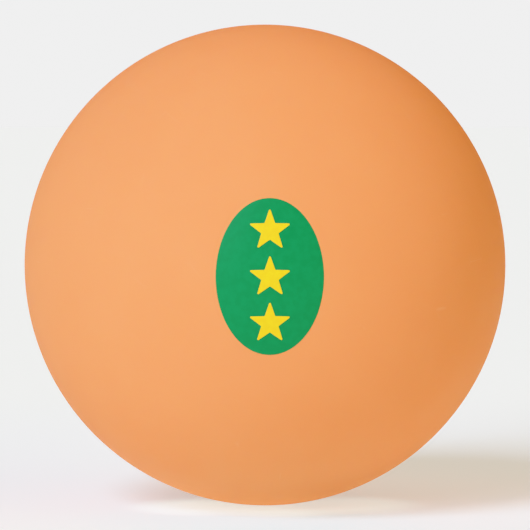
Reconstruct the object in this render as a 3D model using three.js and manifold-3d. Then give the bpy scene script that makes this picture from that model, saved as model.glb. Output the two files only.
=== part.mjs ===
// Table tennis ball, in millimetres.
//
// Two injection-moulded half shells meet on the plane y = 0, and a ring of cement holds them
// together. The rear half carries a spigot that sits in a rabbet in the front half. The front half
// is printed at its pole, on -Y: a green oval panel, and three yellow stars on top of it.
// The origin is the centre of the ball and +Z is up.

import * as THREE from "three";
import { mergeVertices } from "three/addons/utils/BufferGeometryUtils.js";
import Module from "manifold-3d";

// Shells
const BALL_DIAMETER = 40;
const SHELL_WALL = 0.5; // away from the rim
const RIM_WALL = 0.9; // at the parting plane, thickened inwards
const RIM_HEIGHT = 1.6; // straight inner face of the rim, from the parting plane
const RIM_TAPER = 1.0; // run from the rim to the plain wall

// Joint
const SPIGOT_WALL = 0.4;
const SPIGOT_LENGTH = 0.8; // past the parting plane
const BOND_GAP = 0.06; // between the halves, filled by cement
const BEAD_RADIUS = 0.18; // cement squeezed out inside the ball
const CLEARANCE = 0.01; // between solids that touch on the real ball

// Print
const INK_THICKNESS = 0.02;
const PANEL_WIDTH = 8.4;
const PANEL_HEIGHT = 12.2;
const STAR_POINTS = 5;
const STAR_RADIUS = 1.75; // from the centre to a tip
const STAR_WAIST = 0.4; // inner radius as a share of STAR_RADIUS
const STAR_PITCH = 3.6; // between the centres of two stars
const STAR_NODES = ["upper_star_print", "middle_star_print", "lower_star_print"];

// Facets
const TURN_SEGMENTS = 72; // round the y axis
const ARC_SEGMENTS = 18; // from a pole to the rim
const BEAD_SEGMENTS = 6;
const PANEL_SEGMENTS = 72;

const ballRadius = BALL_DIAMETER / 2;
const cavityRadius = ballRadius - SHELL_WALL;
const rimRadius = ballRadius - RIM_WALL; // inner face of both rims
const spigotRadius = rimRadius + SPIGOT_WALL; // outer face of the spigot
const rabbetRadius = spigotRadius + BOND_GAP;
const halfGap = BOND_GAP / 2;
const arcStep = Math.acos(halfGap / ballRadius) / ARC_SEGMENTS;

const wasm = await Module();
wasm.setup();

// ---------------------------------------------------------------- helpers

// A profile point: distance from the y axis, and height along it.
const point = (radius, height) => new THREE.Vector2(radius, height);

// Points on a circle about the origin, at angles measured from the +Y pole.
function arc(radius, fromAngle, toAngle, segments) {
  return Array.from({ length: segments + 1 }, (_, i) => {
    const angle = fromAngle + ((toAngle - fromAngle) * i) / segments;
    return point(radius * Math.sin(angle), radius * Math.cos(angle));
  });
}

// The same profile on the -Y side. Its order is reversed too, which keeps its faces outwards.
function toFront(profile) {
  return profile.map((p) => point(p.x, -p.y)).reverse();
}

function turned(profile) {
  return new THREE.LatheGeometry(profile, TURN_SEGMENTS);
}

function solidOf(geometry) {
  const bare = geometry.clone();
  bare.deleteAttribute("normal");
  bare.deleteAttribute("uv");
  const merged = mergeVertices(bare);
  return new wasm.Manifold(
    new wasm.Mesh({
      numProp: 3,
      vertProperties: merged.attributes.position.array,
      triVerts: new Uint32Array(merged.index.array),
    }),
  );
}

function geometryOf(solid) {
  const { vertProperties, triVerts } = solid.getMesh();
  const geometry = new THREE.BufferGeometry();
  geometry.setAttribute("position", new THREE.BufferAttribute(vertProperties, 3));
  geometry.setIndex(new THREE.BufferAttribute(triVerts, 1));
  geometry.computeVertexNormals();
  return geometry;
}

function namedMesh(name, geometry, material) {
  const mesh = new THREE.Mesh(geometry, material);
  mesh.name = name;
  return mesh;
}

// ---------------------------------------------------------------- materials

const shellPlastic = new THREE.MeshStandardMaterial({
  name: "orange_shell",
  color: 0xf0a062,
  roughness: 0.6,
  metalness: 0,
});

const cement = new THREE.MeshStandardMaterial({
  name: "seam_cement",
  color: 0xf2b27c,
  roughness: 0.4,
  metalness: 0,
});

const greenInk = new THREE.MeshStandardMaterial({
  name: "green_ink",
  color: 0x1ea263,
  roughness: 0.5,
  metalness: 0,
});

const yellowInk = new THREE.MeshStandardMaterial({
  name: "yellow_ink",
  color: 0xf8de28,
  roughness: 0.5,
  metalness: 0,
});

// ---------------------------------------------------------------- half shells

// Inner wall of a half on the +Y side, from the pole to the top of the straight rim face.
function innerWall() {
  const taperTop = RIM_HEIGHT + RIM_TAPER;
  const taperAngle = Math.acos(taperTop / cavityRadius);
  return [
    ...arc(cavityRadius, 0, taperAngle, ARC_SEGMENTS),
    point(rimRadius, RIM_HEIGHT),
  ];
}

// Outer wall of a half on the +Y side, from the parting face to the pole.
function outerWall() {
  return arc(ballRadius, ARC_SEGMENTS * arcStep, 0, ARC_SEGMENTS);
}

// The spigot stands past the parting plane, so its end is at a negative height.
function rearHalfShell() {
  return turned([
    ...innerWall(),
    point(rimRadius, -SPIGOT_LENGTH),
    point(spigotRadius, -SPIGOT_LENGTH),
    point(spigotRadius, halfGap),
    ...outerWall(),
  ]);
}

// The rabbet takes the spigot, with the bond gap round it and past its end.
function frontHalfShell() {
  const rabbetFloor = SPIGOT_LENGTH + BOND_GAP;
  return turned(
    toFront([
      ...innerWall(),
      point(rimRadius, rabbetFloor),
      point(rabbetRadius, rabbetFloor),
      point(rabbetRadius, halfGap),
      ...outerWall(),
    ]),
  );
}

// ---------------------------------------------------------------- cement

// One closed ring: a flat film between the parting faces, a sleeve round the spigot, a film past
// the spigot's end, and a half-round bead that was squeezed out of the joint. The outer edge of
// the film lies a hair under the ball's surface, so the shells alone touch a table.
function seamCement() {
  const edgeRadius = ballRadius - CLEARANCE;
  const faceHeight = halfGap - CLEARANCE;
  const sleeveInner = spigotRadius + CLEARANCE;
  const sleeveOuter = rabbetRadius - CLEARANCE;
  const endNear = -SPIGOT_LENGTH - CLEARANCE;
  const endFar = -SPIGOT_LENGTH - BOND_GAP + CLEARANCE;
  const rimFace = rimRadius - CLEARANCE;
  const beadHeight = (endNear + endFar) / 2;
  const bead = Array.from({ length: BEAD_SEGMENTS + 1 }, (_, i) => {
    const angle = Math.PI / 2 + (Math.PI * i) / BEAD_SEGMENTS;
    return point(
      rimFace + BEAD_RADIUS * Math.cos(angle),
      beadHeight + BEAD_RADIUS * Math.sin(angle),
    );
  });
  const profile = [
    point(edgeRadius, faceHeight),
    point(sleeveInner, faceHeight),
    point(sleeveInner, endNear),
    point(rimFace, endNear),
    ...bead,
    point(rimFace, endFar),
    point(sleeveOuter, endFar),
    point(sleeveOuter, -faceHeight),
    point(edgeRadius, -faceHeight),
  ];
  return turned([...profile, profile[0]]);
}

// ---------------------------------------------------------------- print

// A skin over the front pole whose facets lie parallel to the shell's. Layer 0 is on the shell.
function inkSkin(layer) {
  const inner = ballRadius + CLEARANCE + layer * (INK_THICKNESS + CLEARANCE);
  const outer = inner + INK_THICKNESS;
  const reach = Math.asin(Math.hypot(PANEL_WIDTH, PANEL_HEIGHT) / 2 / ballRadius);
  const steps = Math.ceil(reach / arcStep);
  const edge = steps * arcStep;
  return turned(toFront([...arc(inner, 0, edge, steps), ...arc(outer, edge, 0, steps)]));
}

// A flat outline pressed straight onto the front of the ball, as a printing pad does it.
// The outline's x is the ball's x, and its y is the ball's z. The prism runs from y = 0 to -Y.
function printed(outline, layer) {
  const prism = new THREE.ExtrudeGeometry(outline, {
    depth: BALL_DIAMETER,
    bevelEnabled: false,
    curveSegments: PANEL_SEGMENTS,
  });
  prism.rotateX(Math.PI / 2);
  return geometryOf(solidOf(inkSkin(layer)).intersect(solidOf(prism)));
}

function panelOutline() {
  const outline = new THREE.Shape();
  outline.absellipse(0, 0, PANEL_WIDTH / 2, PANEL_HEIGHT / 2, 0, 2 * Math.PI);
  return outline;
}

function starOutline(centreHeight) {
  const corners = Array.from({ length: 2 * STAR_POINTS }, (_, i) => {
    const radius = STAR_RADIUS * (i % 2 ? STAR_WAIST : 1);
    const angle = Math.PI / 2 + (Math.PI * i) / STAR_POINTS;
    return point(radius * Math.cos(angle), centreHeight + radius * Math.sin(angle));
  });
  return new THREE.Shape(corners);
}

// ---------------------------------------------------------------- assembly

const ball = new THREE.Group();
ball.add(namedMesh("front_half_shell", frontHalfShell(), shellPlastic));
ball.add(namedMesh("rear_half_shell", rearHalfShell(), shellPlastic));
ball.add(namedMesh("seam_cement", seamCement(), cement));
ball.add(namedMesh("panel_print", printed(panelOutline(), 0), greenInk));

const middleStar = (STAR_NODES.length - 1) / 2;
STAR_NODES.forEach((name, i) => {
  const outline = starOutline((middleStar - i) * STAR_PITCH);
  ball.add(namedMesh(name, printed(outline, 1), yellowInk));
});

export default ball;
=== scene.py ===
"""A table tennis ball: the fine surfaces, the finishes and the light.

Every surface is worked out with numpy on a grid of two parameters, in metres, in the frame of the
CAD model. The ball's centre is the origin and Z is up. The two half shells meet on the plane
y = 0: the printed one is on -Y and the plain one is on +Y.
"""

import math

import bpy
import numpy as np
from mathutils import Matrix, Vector


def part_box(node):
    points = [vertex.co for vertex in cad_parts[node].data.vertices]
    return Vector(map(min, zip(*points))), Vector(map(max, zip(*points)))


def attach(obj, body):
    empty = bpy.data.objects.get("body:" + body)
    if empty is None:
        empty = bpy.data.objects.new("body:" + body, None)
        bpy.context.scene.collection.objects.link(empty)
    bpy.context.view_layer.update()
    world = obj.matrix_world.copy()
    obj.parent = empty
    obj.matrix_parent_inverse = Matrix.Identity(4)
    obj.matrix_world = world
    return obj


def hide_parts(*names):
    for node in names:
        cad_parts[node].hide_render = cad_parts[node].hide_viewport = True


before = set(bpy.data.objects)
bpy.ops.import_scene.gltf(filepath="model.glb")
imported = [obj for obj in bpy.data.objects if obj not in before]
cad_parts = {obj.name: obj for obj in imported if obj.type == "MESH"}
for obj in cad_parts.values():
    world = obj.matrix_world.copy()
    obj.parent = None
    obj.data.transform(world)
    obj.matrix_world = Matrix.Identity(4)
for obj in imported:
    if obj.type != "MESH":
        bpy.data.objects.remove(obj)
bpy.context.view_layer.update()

MM = 0.001

# ---------------------------------------------------------------- sizes taken from the frame

front_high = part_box("front_half_shell")[1]
rear_low, rear_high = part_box("rear_half_shell")
panel_low, panel_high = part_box("panel_print")

BALL_RADIUS = rear_high.y
HALF_GAP = -front_high.y  # from the parting plane to the edge of either half
SPIGOT_LENGTH = -rear_low.y
FLOOR_LEVEL = rear_low.z
PANEL_HALF_WIDTH = panel_high.x
PANEL_HALF_HEIGHT = panel_high.z
PANEL_TOP_RADIUS = -panel_low.y  # outer face of the green ink
STAR_NODES = ("upper_star_print", "middle_star_print", "lower_star_print")

# ---------------------------------------------------------------- sizes that the frame doesn't give

SHELL_WALL = 0.50 * MM
RIM_WALL = 0.90 * MM
RIM_HEIGHT = 1.60 * MM
RIM_TAPER = 1.00 * MM
SPIGOT_WALL = 0.40 * MM
CLEARANCE = 0.01 * MM
BEAD_RADIUS = 0.18 * MM
INK_THICKNESS = 0.02 * MM
STAR_POINTS = 5
STAR_WAIST = 0.4

EDGE_ROUND = 0.05 * MM  # outer edges of the halves, where they meet
EDGE_REACH = 3 * EDGE_ROUND  # from the edge to where the plain sphere starts
CORNER_ROUND = 0.015 * MM  # corners inside the joint
BLEND_ROUND = 1.2 * MM  # between the rim and the plain wall
STAR_ROUND = 0.07 * MM  # ink rounds the tips and notches of a star
INK_EDGE = 0.06 * MM  # over which an ink film thins out to nothing
FILM_TURN = math.radians(55)  # how far the cement follows the rounded edge of each half
FILM_DIP = 0.012 * MM  # how deep the cement sinks between the two edges

# Waves in the cement bead: how many go round the joint, and their height and phase.
BEAD_WAVES = ((2, 0.10, 0.4), (5, 0.08, 2.1), (9, 0.05, 4.0), (23, 0.03, 1.3))

CAVITY_RADIUS = BALL_RADIUS - SHELL_WALL
RIM_RADIUS = BALL_RADIUS - RIM_WALL
SPIGOT_RADIUS = RIM_RADIUS + SPIGOT_WALL
RABBET_RADIUS = SPIGOT_RADIUS + 2 * HALF_GAP

# ---------------------------------------------------------------- how fine the grids are

TURN_STEPS = 256  # round the ball
OUTER_STEPS = 96  # from a pole to the parting edge
INNER_STEPS = 64
ROUND_STEPS = 6  # along one rounded corner
BEAD_STEPS = 16
PANEL_COLUMNS = 320
PANEL_ROWS = 24
STAR_COLUMNS = 240
STAR_ROWS = 10
FLOOR_COLUMNS = 96
FLOOR_ROWS = 32

# ---------------------------------------------------------------- surfaces


def grid_faces(rows, columns, closed_rows):
    """Faces between row i and i + 1, and column j and j + 1. Columns run round and close. With
    closed_rows the last row joins the first. Without, the rows start and end in a fan whose
    middle is one of the two points that follow the grid's points."""
    i = np.arange(rows if closed_rows else rows - 1)[:, None]
    j = np.arange(columns)[None, :]
    below = (i + 1) % rows
    after = (j + 1) % columns
    corners = (i * columns + j, below * columns + j, below * columns + after, i * columns + after)
    quads = np.stack(np.broadcast_arrays(*corners), axis=-1).reshape(-1, 4)
    if closed_rows:
        return [quads]
    first, last = rows * columns, rows * columns + 1
    j, after = j.ravel(), after.ravel()
    top = np.stack([np.full(columns, first), j, after], axis=-1)
    end = (rows - 1) * columns
    foot = np.stack([end + j, np.full(columns, last), end + after], axis=-1)
    return [quads, top, foot]


def mesh_piece(name, points, faces):
    """A smooth-shaded object at the origin, from points in the frame and arrays of faces."""
    mesh = bpy.data.meshes.new(name)
    mesh.from_pydata(points.tolist(), [], [f for block in faces for f in block.tolist()])
    mesh.shade_smooth()
    mesh.update()
    piece = bpy.data.objects.new(name, mesh)
    bpy.context.scene.collection.objects.link(piece)
    return piece


def turned_piece(name, radius, height, poles=None):
    """A surface of revolution about Y. Row i and column j are at the angle a = 2 pi j / columns,
    at the point (r sin a, h, r cos a), with r = radius[i, j] and h = height[i, j]. poles are the
    heights where the surface starts and ends on the axis, or None for a ring whose rows close."""
    angle = np.linspace(0, 2 * np.pi, TURN_STEPS, endpoint=False)[None, :]
    radius, height = np.broadcast_arrays(radius, height)
    x = radius * np.sin(angle)
    z = radius * np.cos(angle)
    y = height + 0 * angle
    points = np.stack([x, y, z], axis=-1).reshape(-1, 3)
    if poles is not None:
        points = np.concatenate([points, [[0, poles[0], 0], [0, poles[1], 0]]])
    return mesh_piece(name, points, grid_faces(len(radius), TURN_STEPS, poles is None))


def arc(radius, start, end, steps):
    """Points (r, h) on a circle about the origin: r = R sin t, h = R cos t, t from start to end."""
    t = np.linspace(start, end, steps + 1)
    return radius * np.stack([np.sin(t), np.cos(t)], axis=-1)


def rounded(corners, rounds):
    """A path through corners that turns each inner one on a circle of its own radius. The circle
    touches both sides at radius / tan(half the corner's angle) from the corner, and the path goes
    from one touching point to the other by turning the spoke between them evenly."""
    corners = np.asarray(corners, float)
    share = np.linspace(0, 1, ROUND_STEPS + 1)[:, None]
    path = [corners[:1]]
    for before, corner, after, radius in zip(corners[:-2], corners[1:-1], corners[2:], rounds):
        back = (before - corner) / np.linalg.norm(before - corner)
        ahead = (after - corner) / np.linalg.norm(after - corner)
        half = math.acos(float(back @ ahead)) / 2
        turn = math.pi - 2 * half
        middle = (back + ahead) / np.linalg.norm(back + ahead)
        centre = corner + middle * radius / math.sin(half)
        first = corner + back * radius / math.tan(half) - centre
        last = corner + ahead * radius / math.tan(half) - centre
        spokes = np.sin((1 - share) * turn) * first + np.sin(share * turn) * last
        path.append(centre + spokes / math.sin(turn))
    path.append(corners[-1:])
    return np.concatenate(path)


def evenly_spaced(path, count):
    """count points at even distances along a closed path."""
    loop = np.concatenate([path, path[:1]])
    along = np.concatenate([[0], np.cumsum(np.linalg.norm(np.diff(loop, axis=0), axis=1))])
    at = np.linspace(0, along[-1], count, endpoint=False)
    return np.stack([np.interp(at, along, loop[:, k]) for k in (0, 1)], axis=-1)


# ---------------------------------------------------------------- half shells


def half_profile(joint):
    """The profile (r, h) of a half on the +Y side: down the outer sphere from the pole, through
    the corners of the joint, up the rim and its taper, and back along the cavity to the pole. The
    taper ends on the cavity's circle, at (sqrt(R^2 - h^2), h)."""
    taper_top = RIM_HEIGHT + RIM_TAPER
    outer_end = math.acos((HALF_GAP + EDGE_REACH) / BALL_RADIUS)
    inner_start = math.acos((taper_top + RIM_TAPER) / CAVITY_RADIUS)
    outer = arc(BALL_RADIUS, 0, outer_end, OUTER_STEPS)
    inner = arc(CAVITY_RADIUS, inner_start, 0, INNER_STEPS)
    corners = [
        outer[-1],
        (BALL_RADIUS, HALF_GAP),
        *joint,
        (RIM_RADIUS, RIM_HEIGHT),
        (math.sqrt(CAVITY_RADIUS**2 - taper_top**2), taper_top),
        inner[0],
    ]
    rounds = [EDGE_ROUND, *[CORNER_ROUND] * len(joint), BLEND_ROUND, BLEND_ROUND]
    return np.concatenate([outer[1:-1], rounded(corners, rounds), inner[1:-1]])


def rear_half():
    """The plain half, whose spigot stands past the parting plane."""
    joint = [
        (SPIGOT_RADIUS, HALF_GAP),
        (SPIGOT_RADIUS, -SPIGOT_LENGTH),
        (RIM_RADIUS, -SPIGOT_LENGTH),
    ]
    profile = half_profile(joint)
    radius, height = profile[:, :1], profile[:, 1:]
    return turned_piece("rear_half", radius, height, (BALL_RADIUS, CAVITY_RADIUS))


def front_half():
    """The printed half, mirrored to -Y. Its rabbet takes the spigot and the cement round it."""
    end = SPIGOT_LENGTH + 2 * HALF_GAP
    joint = [(RABBET_RADIUS, HALF_GAP), (RABBET_RADIUS, end), (RIM_RADIUS, end)]
    profile = half_profile(joint)[::-1]
    radius, height = profile[:, :1], -profile[:, 1:]
    return turned_piece("front_half", radius, height, (-CAVITY_RADIUS, -BALL_RADIUS))


# ---------------------------------------------------------------- cement


def bead_swell():
    """How much the bead swells and shrinks round the joint: 1 plus a sum of sines, each with a
    whole number of waves, so that it closes."""
    angle = np.linspace(0, 2 * np.pi, TURN_STEPS, endpoint=False)[None, :]
    waves, heights, phases = np.array(BEAD_WAVES).T
    parts = heights[:, None] * np.sin(waves[:, None] * angle + phases[:, None])
    return 1 + parts.sum(axis=0)[None, :]


def film_edge():
    """The outer edge of the cement film as (r, h), from +Y to -Y. It follows the rounded edges of
    the halves at a clearance, and dips between them by the parabola dip (1 - s^2)."""
    turn = np.linspace(0, FILM_TURN, ROUND_STEPS + 1)
    spoke = EDGE_ROUND + CLEARANCE
    radius = BALL_RADIUS - EDGE_ROUND + spoke * np.sin(turn)
    height = HALF_GAP + EDGE_ROUND - spoke * np.cos(turn)
    share = np.linspace(1, -1, 2 * ROUND_STEPS + 1)[1:-1]
    middle = np.stack([radius[-1] - FILM_DIP * (1 - share**2), height[-1] * share], axis=-1)
    flank = np.stack([radius, height], axis=-1)
    return np.concatenate([flank, middle, (flank * (1, -1))[::-1]])


def cement_ring():
    """The film between the parting faces, the sleeve round the spigot, the film past its end, and
    the uneven bead inside the ball: one closed profile carried round the Y axis. The bead's
    radius is multiplied by bead_swell."""
    face = HALF_GAP - CLEARANCE
    sleeve_inner = SPIGOT_RADIUS + CLEARANCE
    sleeve_outer = RABBET_RADIUS - CLEARANCE
    near = -SPIGOT_LENGTH - CLEARANCE
    far = -SPIGOT_LENGTH - 2 * HALF_GAP + CLEARANCE
    rim = RIM_RADIUS - CLEARANCE
    centre = (near + far) / 2
    turn = np.linspace(-np.pi / 2, -3 * np.pi / 2, BEAD_STEPS + 1)[:, None]
    bead = BEAD_RADIUS * bead_swell()
    outside = np.array([(sleeve_outer, -face), (sleeve_outer, far), (rim, far)])
    inside = np.array([(rim, near), (sleeve_inner, near), (sleeve_inner, face)])
    blocks = [
        np.hsplit(film_edge(), 2),
        np.hsplit(outside, 2),
        (rim + bead * np.cos(turn), centre + bead * np.sin(turn)),
        np.hsplit(inside, 2),
    ]
    radius, height = (
        np.concatenate([np.broadcast_to(block[k], (len(block[k]), TURN_STEPS)) for block in blocks])
        for k in (0, 1)
    )
    return turned_piece("cement_ring", radius, height)


# ---------------------------------------------------------------- print


def ink_film(name, outline, base_radius, rows):
    """A film of ink over an outline (x, z) that is pressed along Y onto a sphere round the origin.
    Rows are copies of the outline, scaled about its middle by u from 0 to 1 on top and back to 0
    underneath. A point at (x, z) is at y = -sqrt(R^2 - x^2 - z^2). R is base_radius underneath and
    more by the thickness on top, and near the edge the thickness falls off as a quarter circle."""
    middle = outline.mean(axis=0)
    spokes = outline - middle
    edge = INK_EDGE / np.linalg.norm(spokes, axis=1).mean()
    quarter = np.linspace(0, np.pi / 2, ROUND_STEPS + 1)
    top = np.linspace(0, 1 - edge, rows + 1)[1:-1]
    under = np.linspace(1, 0, rows + 1)[1:-1]
    u = np.concatenate([top, 1 - edge + edge * np.sin(quarter), under])[:, None]
    lift = np.concatenate([np.ones_like(top), np.cos(quarter), np.zeros_like(under)])[:, None]
    x = middle[0] + u * spokes[:, 0]
    z = middle[1] + u * spokes[:, 1]
    radius = base_radius + INK_THICKNESS * lift
    y = -np.sqrt(radius**2 - x**2 - z**2)
    points = np.stack([x, y, z], axis=-1).reshape(-1, 3)
    ends = np.array([base_radius + INK_THICKNESS, base_radius])
    depth = -np.sqrt(ends**2 - (middle**2).sum())
    poles = [(middle[0], depth[0], middle[1]), (middle[0], depth[1], middle[1])]
    points = np.concatenate([points, poles])
    return mesh_piece(name, points, grid_faces(len(u), len(outline), False))


def green_panel():
    """The upright oval: x = a cos t, z = b sin t."""
    t = np.linspace(0, 2 * np.pi, PANEL_COLUMNS, endpoint=False)
    outline = np.stack([PANEL_HALF_WIDTH * np.cos(t), PANEL_HALF_HEIGHT * np.sin(t)], axis=-1)
    return ink_film("green_panel", outline, PANEL_TOP_RADIUS - INK_THICKNESS, PANEL_ROWS)


def yellow_star(name, node):
    """A star with its tips and notches rounded. Corner k is at the angle pi / 2 + k pi / points,
    on the tip circle for even k and on the waist circle for odd k."""
    low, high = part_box(node)
    tip_radius = (high.x - low.x) / 2 / math.cos(math.pi / 2 - 2 * math.pi / STAR_POINTS)
    k = np.arange(-1, 2 * STAR_POINTS + 1)
    radius = tip_radius * np.where(k % 2, STAR_WAIST, 1)
    angle = np.pi / 2 + k * np.pi / STAR_POINTS
    corners = np.stack([radius * np.cos(angle), radius * np.sin(angle)], axis=-1)
    outline = rounded(corners, [STAR_ROUND] * (len(corners) - 2))[1:-1]
    outline = evenly_spaced(outline, STAR_COLUMNS) + (0, high.z - tip_radius)
    base = PANEL_TOP_RADIUS + CLEARANCE
    return ink_film(name, outline, base, STAR_ROWS)


# ---------------------------------------------------------------- shader node groups


def new_group(name, inputs, outputs):
    """An empty shader node group, and its input and output nodes. inputs and outputs are pairs of
    a socket's name and its kind."""
    group = bpy.data.node_groups.new(name, "ShaderNodeTree")
    for side, sockets in (("INPUT", inputs), ("OUTPUT", outputs)):
        for label, kind in sockets:
            group.interface.new_socket(name=label, in_out=side, socket_type=kind)
    return group, group.nodes.new("NodeGroupInput"), group.nodes.new("NodeGroupOutput")


def add(tree, kind, values=(), links=(), **settings):
    """A node of a kind, with its settings, input values and links from other sockets."""
    node = tree.nodes.new(kind)
    for key, value in settings.items():
        setattr(node, key, value)
    for key, value in dict(values).items():
        node.inputs[key].default_value = value
    for key, source in dict(links).items():
        tree.links.new(source, node.inputs[key])
    return node


def calculate(tree, operation, *operands):
    """A Math node's output. An operand is a number or a socket."""
    node = tree.nodes.new("ShaderNodeMath")
    node.operation = operation
    for socket, operand in zip(node.inputs, operands):
        if isinstance(operand, (int, float)):
            socket.default_value = operand
        else:
            tree.links.new(operand, socket)
    return node.outputs[0]


def between(tree, value, low, high, to_low=0.0, to_high=1.0):
    """A value eased from the range low to high into the range to_low to to_high."""
    values = {"From Min": low, "From Max": high, "To Min": to_low, "To Max": to_high}
    links = {"Value": value}
    node = add(tree, "ShaderNodeMapRange", values, links, interpolation_type="SMOOTHSTEP")
    return node.outputs["Result"]


def noise(tree, position, size, detail=2.0):
    """Noise between 0 and 1 whose lumps are about size metres across."""
    values = {"Scale": 1 / size, "Detail": detail}
    node = add(tree, "ShaderNodeTexNoise", values, {"Vector": position})
    return node.outputs["Fac"]


def cells(tree, position, size, feature):
    """Distances in cells that are about size metres across, as shares of that size."""
    links = {"Vector": position}
    node = add(tree, "ShaderNodeTexVoronoi", {"Scale": 1 / size}, links, feature=feature)
    return node.outputs["Distance"]


def mixed(tree, share, first, second):
    """A colour between two colours, each a socket or a tuple."""
    node = add(tree, "ShaderNodeMix", links={"Factor": share}, data_type="RGBA")
    for key, colour in (("A", first), ("B", second)):
        socket = next(s for s in node.inputs if s.name == key and s.type == "RGBA")
        if isinstance(colour, tuple):
            socket.default_value = (*colour, 1)
        else:
            tree.links.new(colour, socket)
    return next(s for s in node.outputs if s.type == "RGBA")


PIT_SIZE = 0.09 * MM
DIMPLE_SIZE = 0.35 * MM
DIMPLE_DEPTH = 0.5  # against 1 for a pit
RUBBED_PATCH_SIZE = 7 * MM

SCUFF_SPACING = 6 * MM
SCUFF_WIDTH = 0.006  # of the spacing
SCUFF_PATCH_SIZE = 3 * MM
SCUFF_PATCHES = (0.60, 0.72)  # levels of the noise over which scuffs appear

PINHOLE_SPACING = 0.8 * MM
PINHOLE_RADII = (0.03, 0.06)  # of the spacing, from open to closed
PINHOLE_PATCH_SIZE = 1.7 * MM
PINHOLE_PATCHES = (0.60, 0.64)
INK_GRAIN_SIZE = 0.5 * MM


def tumbled_grain_group():
    """The matt surface that tumbling with abrasive gives moulded plastic: fine pits, and broad,
    faint differences in how much each patch was rubbed."""
    outputs = [("Height", "NodeSocketFloat"), ("Rubbing", "NodeSocketFloat")]
    group, given, result = new_group("tumbled_grain", [("Position", "NodeSocketVector")], outputs)
    position = given.outputs["Position"]
    pits = noise(group, position, PIT_SIZE, 3.0)
    dimples = calculate(group, "MULTIPLY", noise(group, position, DIMPLE_SIZE, 1.0), DIMPLE_DEPTH)
    height = calculate(group, "ADD", pits, dimples)
    rubbing = noise(group, position, RUBBED_PATCH_SIZE, 2.0)
    group.links.new(height, result.inputs["Height"])
    group.links.new(rubbing, result.inputs["Rubbing"])
    return group


def hairline_group():
    """Thin, long scuffs here and there: the borders of large cells, kept only in patches."""
    inputs = [("Position", "NodeSocketVector"), ("Amount", "NodeSocketFloat")]
    outputs = [("Mask", "NodeSocketFloat")]
    group, given, result = new_group("hairline_scuffs", inputs, outputs)
    position = given.outputs["Position"]
    border = cells(group, position, SCUFF_SPACING, "DISTANCE_TO_EDGE")
    line = between(group, border, 0.0, SCUFF_WIDTH, 1.0, 0.0)
    patches = between(group, noise(group, position, SCUFF_PATCH_SIZE, 2.0), *SCUFF_PATCHES)
    mask = calculate(group, "MULTIPLY", line, patches)
    faded = calculate(group, "MULTIPLY", mask, given.outputs["Amount"])
    group.links.new(faded, result.inputs["Mask"])
    return group


def seam_belt_group():
    """A belt on both sides of the parting plane, 1 on the plane and 0 past Half Width."""
    inputs = [("Position", "NodeSocketVector"), ("Half Width", "NodeSocketFloat")]
    group, given, result = new_group("seam_belt", inputs, [("Mask", "NodeSocketFloat")])
    axis = add(group, "ShaderNodeSeparateXYZ", links={"Vector": given.outputs["Position"]})
    away = calculate(group, "ABSOLUTE", axis.outputs["Y"])
    share = calculate(group, "DIVIDE", away, given.outputs["Half Width"])
    group.links.new(between(group, share, 0.0, 1.0, 1.0, 0.0), result.inputs["Mask"])
    return group


def ink_wear_group():
    """Where a pad-printed film is thin: pinholes in patches, and a grain in its density."""
    outputs = [("Pinholes", "NodeSocketFloat"), ("Density", "NodeSocketFloat")]
    group, given, result = new_group("ink_wear", [("Position", "NodeSocketVector")], outputs)
    position = given.outputs["Position"]
    spots = cells(group, position, PINHOLE_SPACING, "F1")
    holes = between(group, spots, *PINHOLE_RADII, 1.0, 0.0)
    patches = between(group, noise(group, position, PINHOLE_PATCH_SIZE, 1.0), *PINHOLE_PATCHES)
    group.links.new(calculate(group, "MULTIPLY", holes, patches), result.inputs["Pinholes"])
    group.links.new(noise(group, position, INK_GRAIN_SIZE, 3.0), result.inputs["Density"])
    return group


TUMBLED_GRAIN = tumbled_grain_group()
HAIRLINES = hairline_group()
SEAM_BELT = seam_belt_group()
INK_WEAR = ink_wear_group()

# ---------------------------------------------------------------- materials


def new_material(name):
    """A material, its node tree, its Principled shader and the socket of Object coordinates."""
    material = bpy.data.materials.new(name)
    material.use_nodes = True
    tree = material.node_tree
    shader = next(n for n in tree.nodes if n.type == "BSDF_PRINCIPLED")
    position = tree.nodes.new("ShaderNodeTexCoord").outputs["Object"]
    return material, tree, shader, position


def placed(tree, group, links=(), **values):
    """A shader node group in a material, with its own links and values."""
    node = tree.nodes.new("ShaderNodeGroup")
    node.node_tree = group
    for key, value in values.items():
        node.inputs[key.replace("_", " ")].default_value = value
    for key, source in dict(links).items():
        tree.links.new(source, node.inputs[key])
    return node


def bump(tree, shader, height, depth):
    """Raises the surface by height times depth metres."""
    node = add(tree, "ShaderNodeBump", {"Strength": 1.0, "Distance": depth}, {"Height": height})
    tree.links.new(node.outputs["Normal"], shader.inputs["Normal"])


# Linear colours.
ORANGE = (0.95, 0.272, 0.085)
PALE_ORANGE = (0.97, 0.335, 0.125)
DEEP_ORANGE = (0.93, 0.252, 0.077)
CEMENT = (0.90, 0.29, 0.095)
PALE_CEMENT = (0.92, 0.37, 0.15)
GREEN = (0.003, 0.210, 0.054)
THIN_GREEN = (0.004, 0.228, 0.061)
YELLOW = (0.93, 0.60, 0.012)
THIN_YELLOW = (0.90, 0.56, 0.012)

RUBBED_LEVELS = (0.3, 0.7)  # of the noise, from least to most rubbed
RUBBED_DEPTH = 0.35  # share of the deep orange where it was rubbed most
BELT_HALF_WIDTH = 0.7 * MM
SCUFF_AMOUNT = 0.5
SHELL_ROUGHNESS = (0.76, 0.84)
BELT_SMOOTHNESS = 0.18
SHELL_PIT_DEPTH = 0.004 * MM
SHELL_SHADER = {
    "Subsurface Weight": 0.2,
    "Subsurface Radius": (1.0, 0.35, 0.12),
    "Subsurface Scale": 0.3 * MM,
    "IOR": 1.54,
    "Specular IOR Level": 0.1,
}

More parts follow.
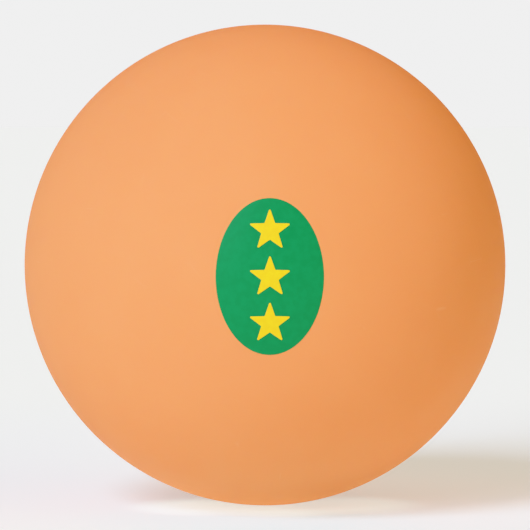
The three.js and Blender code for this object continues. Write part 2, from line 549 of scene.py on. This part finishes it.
CEMENT_LEVELS = (0.35, 0.65)
CEMENT_PALENESS = 0.6
CEMENT_ROUGHNESS = (0.30, 0.42)
CEMENT_PIT_DEPTH = 0.002 * MM
CEMENT_SHADER = {"Specular IOR Level": 0.25}

INK_LEVELS = (0.35, 0.65)
INK_ROUGHNESS = (0.52, 0.44)  # thin, full
INK_PIT_DEPTH = 0.003 * MM
INK_SHADER = {"Specular IOR Level": 0.12}


def set_plain(shader, values):
    """Values that are the same all over a surface."""
    for key, value in values.items():
        shader.inputs[key].default_value = value


def orange_plastic():
    """Matt, slightly translucent plastic, with a smoother belt along the seam."""
    material, tree, shader, position = new_material("orange_plastic")
    grain = placed(tree, TUMBLED_GRAIN, {"Position": position})
    scuffs = placed(tree, HAIRLINES, {"Position": position}, Amount=SCUFF_AMOUNT)
    belt = placed(tree, SEAM_BELT, {"Position": position}, Half_Width=BELT_HALF_WIDTH)
    rubbing = grain.outputs["Rubbing"]
    deeper = between(tree, rubbing, *RUBBED_LEVELS, 0.0, RUBBED_DEPTH)
    rubbed = mixed(tree, deeper, ORANGE, DEEP_ORANGE)
    scuffed = mixed(tree, scuffs.outputs["Mask"], rubbed, PALE_ORANGE)
    tree.links.new(scuffed, shader.inputs["Base Color"])
    dull = between(tree, rubbing, *RUBBED_LEVELS, *SHELL_ROUGHNESS)
    buffed = calculate(tree, "MULTIPLY", belt.outputs["Mask"], BELT_SMOOTHNESS)
    tree.links.new(calculate(tree, "SUBTRACT", dull, buffed), shader.inputs["Roughness"])
    set_plain(shader, SHELL_SHADER)
    bump(tree, shader, grain.outputs["Height"], SHELL_PIT_DEPTH)
    return material


def cement_resin():
    """Solvent cement: plastic dissolved and set again, paler, smoother and a little glossy."""
    material, tree, shader, position = new_material("cement_resin")
    grain = placed(tree, TUMBLED_GRAIN, {"Position": position})
    rubbing = grain.outputs["Rubbing"]
    paler = between(tree, rubbing, *CEMENT_LEVELS, 0.0, CEMENT_PALENESS)
    tree.links.new(mixed(tree, paler, CEMENT, PALE_CEMENT), shader.inputs["Base Color"])
    dull = between(tree, rubbing, *RUBBED_LEVELS, *CEMENT_ROUGHNESS)
    tree.links.new(dull, shader.inputs["Roughness"])
    set_plain(shader, CEMENT_SHADER)
    bump(tree, shader, grain.outputs["Height"], CEMENT_PIT_DEPTH)
    return material


def pad_ink(name, full, thin, seen_through):
    """A film of ink: full where it is dense, thin in between, and open at its pinholes to what is
    under it."""
    material, tree, shader, position = new_material(name)
    wear = placed(tree, INK_WEAR, {"Position": position})
    grain = placed(tree, TUMBLED_GRAIN, {"Position": position})
    density = between(tree, wear.outputs["Density"], *INK_LEVELS)
    film = mixed(tree, density, thin, full)
    pierced = mixed(tree, wear.outputs["Pinholes"], film, seen_through)
    tree.links.new(pierced, shader.inputs["Base Color"])
    dull = between(tree, density, 0.0, 1.0, *INK_ROUGHNESS)
    tree.links.new(dull, shader.inputs["Roughness"])
    set_plain(shader, INK_SHADER)
    bump(tree, shader, grain.outputs["Height"], INK_PIT_DEPTH)
    return material


# ---------------------------------------------------------------- the ball


def finish_piece(piece, material, slot, *nodes):
    """Gives a piece its finish and its place in the frame."""
    piece.data.materials.append(material)
    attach(piece, "root")
    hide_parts(*nodes)


def build_ball():
    """Every piece of the ball, each in place of its own node."""
    plastic = orange_plastic()
    green = pad_ink("green_pad_ink", GREEN, THIN_GREEN, ORANGE)
    yellow = pad_ink("yellow_pad_ink", YELLOW, THIN_YELLOW, GREEN)
    finish_piece(front_half(), plastic, "orange_shell", "front_half_shell")
    finish_piece(rear_half(), plastic, "orange_shell", "rear_half_shell")
    finish_piece(cement_ring(), cement_resin(), "seam_cement", "seam_cement")
    finish_piece(green_panel(), green, "green_ink", "panel_print")
    for node in STAR_NODES:
        star = yellow_star(node.replace("_print", ""), node)
        finish_piece(star, yellow, "yellow_ink", node)


# ---------------------------------------------------------------- floor, light and camera

BACKDROP_GREY = 0.874
FLOOR_RADII = (0.02, 6.0)  # of the smallest and the largest circle in it
FLOOR_GREY = 0.80
FLOOR_GLOW = (0.251, 0.333, 0.292)

# Patches of painted light and shade: there the floor glows differently to make up for the shade and
# the colour that the ball throws on it, as seen from the front. Each has a middle, two distances
# from it between which the glow changes, and the patch's own glow.
FLOOR_GLOW_CHANGES = (
    ((0, 0, 0), (0.050, 0.120), (0.223, 0.307, 0.297)),
    ((-0.001, -0.011, -0.020), (0.003, 0.020), (0.110, 0.306, 0.314)),
    ((-0.005, -0.002, -0.020), (0.003, 0.0075), (0.340, 0.530, 0.510)),
    ((0.001, -0.003, -0.020), (0.003, 0.0075), (0.340, 0.530, 0.510)),
    ((0.007, -0.001, -0.020), (0.003, 0.0075), (0.300, 0.450, 0.430)),
)

# Azimuth and elevation of each lamp and its spread across the sky, in degrees, and the light that
# it throws on a white sheet facing it, where 1 is white. The lamp in front is cool and the room
# behind is warm. The key is tall, so it is made of two lamps.
LAMPS = {
    "key_high": (-35, 42, 24, (0.385, 0.48, 0.65)),
    "key_low": (-35, 18, 24, (0.30, 0.35, 0.455)),
    "fill": (60, 18, 60, (0.27, 0.23, 0.10)),
    "ceiling": (0, 90, 90, (0.22, 0.13, 0.075)),
    "room": (180, 45, 90, (0.16, 0.06, 0.03)),
}

# How bright the view shows light in the scene, from 0, 0 to the last pair.
FILM = (
    (0.040, 0.046),
    (0.071, 0.098),
    (0.142, 0.200),
    (0.347, 0.450),
    (0.600, 0.666),
    (0.863, 0.863),
    (1.000, 0.925),
)

VIEW_AZIMUTH = -1.1  # degrees
VIEW_ELEVATION = 2.7
VIEW_DISTANCE = 0.274  # metres
LENS = 223.2  # millimetres
SENSOR = 36.0


def direction(azimuth, elevation):
    """The unit vector from the ball towards a place at these angles. Azimuth 0 is in front, on
    -Y, and it grows towards +X."""
    a, e = math.radians(azimuth), math.radians(elevation)
    return Vector((math.sin(a) * math.cos(e), -math.cos(a) * math.cos(e), math.sin(e)))


def facing(towards):
    """The turn that points an object's -Z away from a direction and keeps its Y upwards."""
    return (-towards).to_track_quat("-Z", "Y").to_euler()


def light_table():
    """A pale sheet that glows and also shows shadows. From below it can't be seen."""
    material, tree, shader, position = new_material("light_table")
    glow = FLOOR_GLOW
    # Painted light and shade: the floor's glow changes in patches round the ball.
    for middle, distances, colour in FLOOR_GLOW_CHANGES:
        away = add(tree, "ShaderNodeVectorMath", {1: middle}, {0: position}, operation="DISTANCE")
        glow = mixed(tree, between(tree, away.outputs["Value"], *distances), colour, glow)
    tree.links.new(glow, shader.inputs["Emission Color"])
    set_plain(
        shader,
        {
            "Base Color": (FLOOR_GREY, FLOOR_GREY, FLOOR_GREY, 1),
            "Emission Strength": 1.0,
            "Roughness": 1.0,
            "Specular IOR Level": 0.0,
        },
    )
    below = tree.nodes.new("ShaderNodeNewGeometry").outputs["Backfacing"]
    clear = tree.nodes.new("ShaderNodeBsdfTransparent").outputs[0]
    sides = add(tree, "ShaderNodeMixShader", links={0: below, 1: shader.outputs[0], 2: clear})
    output = next(n for n in tree.nodes if n.type == "OUTPUT_MATERIAL")
    tree.links.new(sides.outputs[0], output.inputs["Surface"])
    return material


def add_floor():
    """A flat disc under the ball: rows are circles whose radii grow by a constant factor."""
    radii = np.geomspace(*FLOOR_RADII, FLOOR_ROWS)[:, None]
    angle = np.linspace(0, 2 * np.pi, FLOOR_COLUMNS, endpoint=False)[None, :]
    x, y = radii * np.cos(angle), radii * np.sin(angle)
    points = np.stack([x, y, np.full_like(x, FLOOR_LEVEL)], axis=-1).reshape(-1, 3)
    points = np.concatenate([points, [[0, 0, FLOOR_LEVEL]]])
    quads, middle, _ = grid_faces(FLOOR_ROWS, FLOOR_COLUMNS, False)
    floor = mesh_piece("floor", points, [quads, middle])
    floor.data.materials.append(light_table())


def add_backdrop():
    """A plain pale backdrop, which the camera sees and which throws no light."""
    world = bpy.data.worlds.new("backdrop")
    world.use_nodes = True
    tree = world.node_tree
    tree.nodes.clear()
    seen = tree.nodes.new("ShaderNodeLightPath").outputs["Is Camera Ray"]
    grey = calculate(tree, "MULTIPLY", seen, BACKDROP_GREY)
    backdrop = add(tree, "ShaderNodeBackground", {"Color": (1, 1, 1, 1)}, {"Strength": grey})
    output = tree.nodes.new("ShaderNodeOutputWorld")
    tree.links.new(backdrop.outputs[0], output.inputs["Surface"])
    bpy.context.scene.world = world


def add_lamp(name, azimuth, elevation, spread, light):
    """A soft lamp, far away."""
    lamp = bpy.data.lights.new(name, "SUN")
    lamp.energy = math.pi * max(light)
    lamp.color = [share / max(light) for share in light]
    lamp.angle = math.radians(spread)
    holder = bpy.data.objects.new(name, lamp)
    holder.rotation_euler = facing(direction(azimuth, elevation))
    bpy.context.scene.collection.objects.link(holder)


def add_camera():
    """A long lens at the height of the ball, which looks at the ball's centre."""
    lens = bpy.data.cameras.new("camera")
    lens.lens = LENS
    lens.sensor_width = SENSOR
    camera = bpy.data.objects.new("camera", lens)
    towards = direction(VIEW_AZIMUTH, VIEW_ELEVATION)
    camera.location = towards * VIEW_DISTANCE
    camera.rotation_euler = facing(towards)
    bpy.context.scene.collection.objects.link(camera)
    bpy.context.scene.camera = camera


def set_film():
    """A plain view whose bright end is rolled off gently, as film does it."""
    view = bpy.context.scene.view_settings
    view.view_transform = "Standard"
    view.use_curve_mapping = True
    curve = view.curve_mapping.curves[3]
    curve.points[-1].location = FILM[-1]
    for scene_light, shown_light in FILM[:-1]:
        curve.points.new(scene_light, shown_light)
    view.curve_mapping.update()


build_ball()
add_floor()
add_backdrop()
for name, lamp in LAMPS.items():
    add_lamp(name, *lamp)
add_camera()
set_film()
